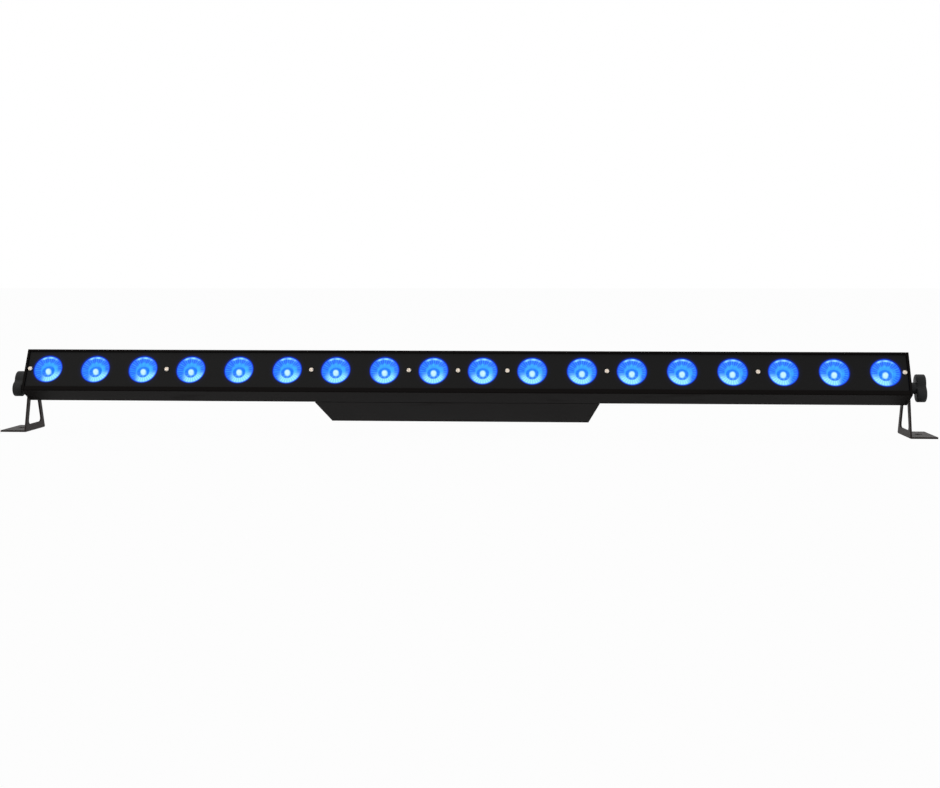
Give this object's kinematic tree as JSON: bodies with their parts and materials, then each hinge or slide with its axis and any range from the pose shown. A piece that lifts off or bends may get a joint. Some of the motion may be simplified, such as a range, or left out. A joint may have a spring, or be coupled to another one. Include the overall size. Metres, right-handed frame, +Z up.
{
  "type": "led strip batten",
  "caption": "Black LED strip batten: one row of round lenses in an extruded bar, a slanted driver box behind it and two tilting floor brackets with winged clamp knobs.",
  "frame": {"origin": "centre of the bounding box's base, on the floor between the two brackets", "axes": "+X along the bar, lenses facing -Y and tilted up, +Z up"},
  "size_m": [1.0732, 0.101, 0.0965],
  "materials": {
    "black_paint": "satin black powder coat",
    "panel_black": "matt black",
    "bracket_black": "satin black powder coat",
    "knob_plastic": "fine moulded grain",
    "lens_blue": "clear moulded lens lit blue",
    "zinc_steel": "zinc plated",
    "board_white": "white solder mask",
    "board_green": "green solder mask",
    "socket_black": "moulded",
    "socket_blue": "moulded",
    "socket_grey": "moulded",
    "display_dark": "glossy dark window",
    "cable_black": "matt sheath",
    "washer_black": "matt"
  },
  "bodies": {
    "batten": {"housing_extrusion": "black_paint", "end_plate_left": "black_paint", "end_plate_right": "black_paint", "front_panel": "panel_black", "driver_box_shell": "black_paint", "driver_box_rear_panel": "black_paint", "data_in_socket": "socket_black", "data_out_socket": "socket_black", "mains_inlet": "socket_blue", "mains_outlet": "socket_grey", "display_window": "display_dark", "control_board": "board_green", "power_supply_board": "board_green", "lamp_cable": "cable_black", "friction_spacer_left": "washer_black", "friction_spacer_right": "washer_black", "clamp_nut_left": "zinc_steel", "clamp_nut_right": "zinc_steel", "lens_01": "lens_blue", "lens_02": "lens_blue", "lens_03": "lens_blue", "lens_04": "lens_blue", "lens_05": "lens_blue", "lens_06": "lens_blue", "lens_07": "lens_blue", "lens_08": "lens_blue", "lens_09": "lens_blue", "lens_10": "lens_blue", "lens_11": "lens_blue", "lens_12": "lens_blue", "lens_13": "lens_blue", "lens_14": "lens_blue", "lens_15": "lens_blue", "lens_16": "lens_blue", "lens_17": "lens_blue", "lens_18": "lens_blue", "led_board_1": "board_white", "led_board_2": "board_white", "led_board_3": "board_white", "panel_screw_1": "zinc_steel", "panel_screw_2": "zinc_steel", "panel_screw_3": "zinc_steel", "panel_screw_4": "zinc_steel", "panel_screw_5": "zinc_steel", "panel_screw_6": "zinc_steel", "panel_screw_7": "zinc_steel", "panel_screw_8": "zinc_steel", "panel_screw_9": "zinc_steel"},
    "bracket_left": {"bracket_left": "bracket_black"},
    "bracket_right": {"bracket_right": "bracket_black"},
    "washer_left": {"knob_washer_left": "zinc_steel"},
    "washer_right": {"knob_washer_right": "zinc_steel"},
    "knob_left": {"clamp_knob_left": "knob_plastic"},
    "knob_right": {"clamp_knob_right": "knob_plastic"},
    "fuse_carrier": {"fuse_carrier": "socket_black"},
    "menu_button_1": {"menu_button_1": "knob_plastic"},
    "menu_button_2": {"menu_button_2": "knob_plastic"},
    "menu_button_3": {"menu_button_3": "knob_plastic"},
    "menu_button_4": {"menu_button_4": "knob_plastic"}
  },
  "joints": [
    {"name": "bracket_left_tilt", "type": "hinge", "parent": "batten", "child": "bracket_left", "pos_m": [-0.5071, -0.00239, 0.0545], "axis": [1, 0, 0], "range_deg": [-118, 62]},
    {"name": "washer_left_travel", "type": "slide", "parent": "batten", "child": "washer_left", "axis": [-1, 0, 0], "range_m": [0, 0.002]},
    {"name": "knob_left_turn", "type": "hinge", "parent": "washer_left", "child": "knob_left", "pos_m": [-0.5226, -0.00239, 0.0545], "axis": [-1, 0, 0], "range_deg": [0, 720]},
    {"name": "bracket_right_tilt", "type": "hinge", "parent": "batten", "child": "bracket_right", "pos_m": [0.5071, -0.00239, 0.0545], "axis": [1, 0, 0], "range_deg": [-118, 62]},
    {"name": "washer_right_travel", "type": "slide", "parent": "batten", "child": "washer_right", "axis": [1, 0, 0], "range_m": [0, 0.002]},
    {"name": "knob_right_turn", "type": "hinge", "parent": "washer_right", "child": "knob_right", "pos_m": [0.5226, -0.00239, 0.0545], "axis": [1, 0, 0], "range_deg": [0, 720]},
    {"name": "menu_button_1_press", "type": "slide", "parent": "batten", "child": "menu_button_1", "axis": [0, -0.8829, 0.4695], "range_m": [0, 0.001], "stiffness_N_per_m": 600, "springref_m": -0.0006},
    {"name": "menu_button_2_press", "type": "slide", "parent": "batten", "child": "menu_button_2", "axis": [0, -0.8829, 0.4695], "range_m": [0, 0.001], "stiffness_N_per_m": 600, "springref_m": -0.0006},
    {"name": "menu_button_3_press", "type": "slide", "parent": "batten", "child": "menu_button_3", "axis": [0, -0.8829, 0.4695], "range_m": [0, 0.001], "stiffness_N_per_m": 600, "springref_m": -0.0006},
    {"name": "menu_button_4_press", "type": "slide", "parent": "batten", "child": "menu_button_4", "axis": [0, -0.8829, 0.4695], "range_m": [0, 0.001], "stiffness_N_per_m": 600, "springref_m": -0.0006},
    {"name": "fuse_carrier_pull", "type": "slide", "parent": "batten", "child": "fuse_carrier", "axis": [0, 0.8829, -0.4695], "range_m": [0, 0.02]}
  ],
  "couplings": [
    {"joint": "knob_left_turn", "follows": "washer_left_travel", "rad_per_m": 6283.2},
    {"joint": "knob_right_turn", "follows": "washer_right_travel", "rad_per_m": 6283.2}
  ]
}
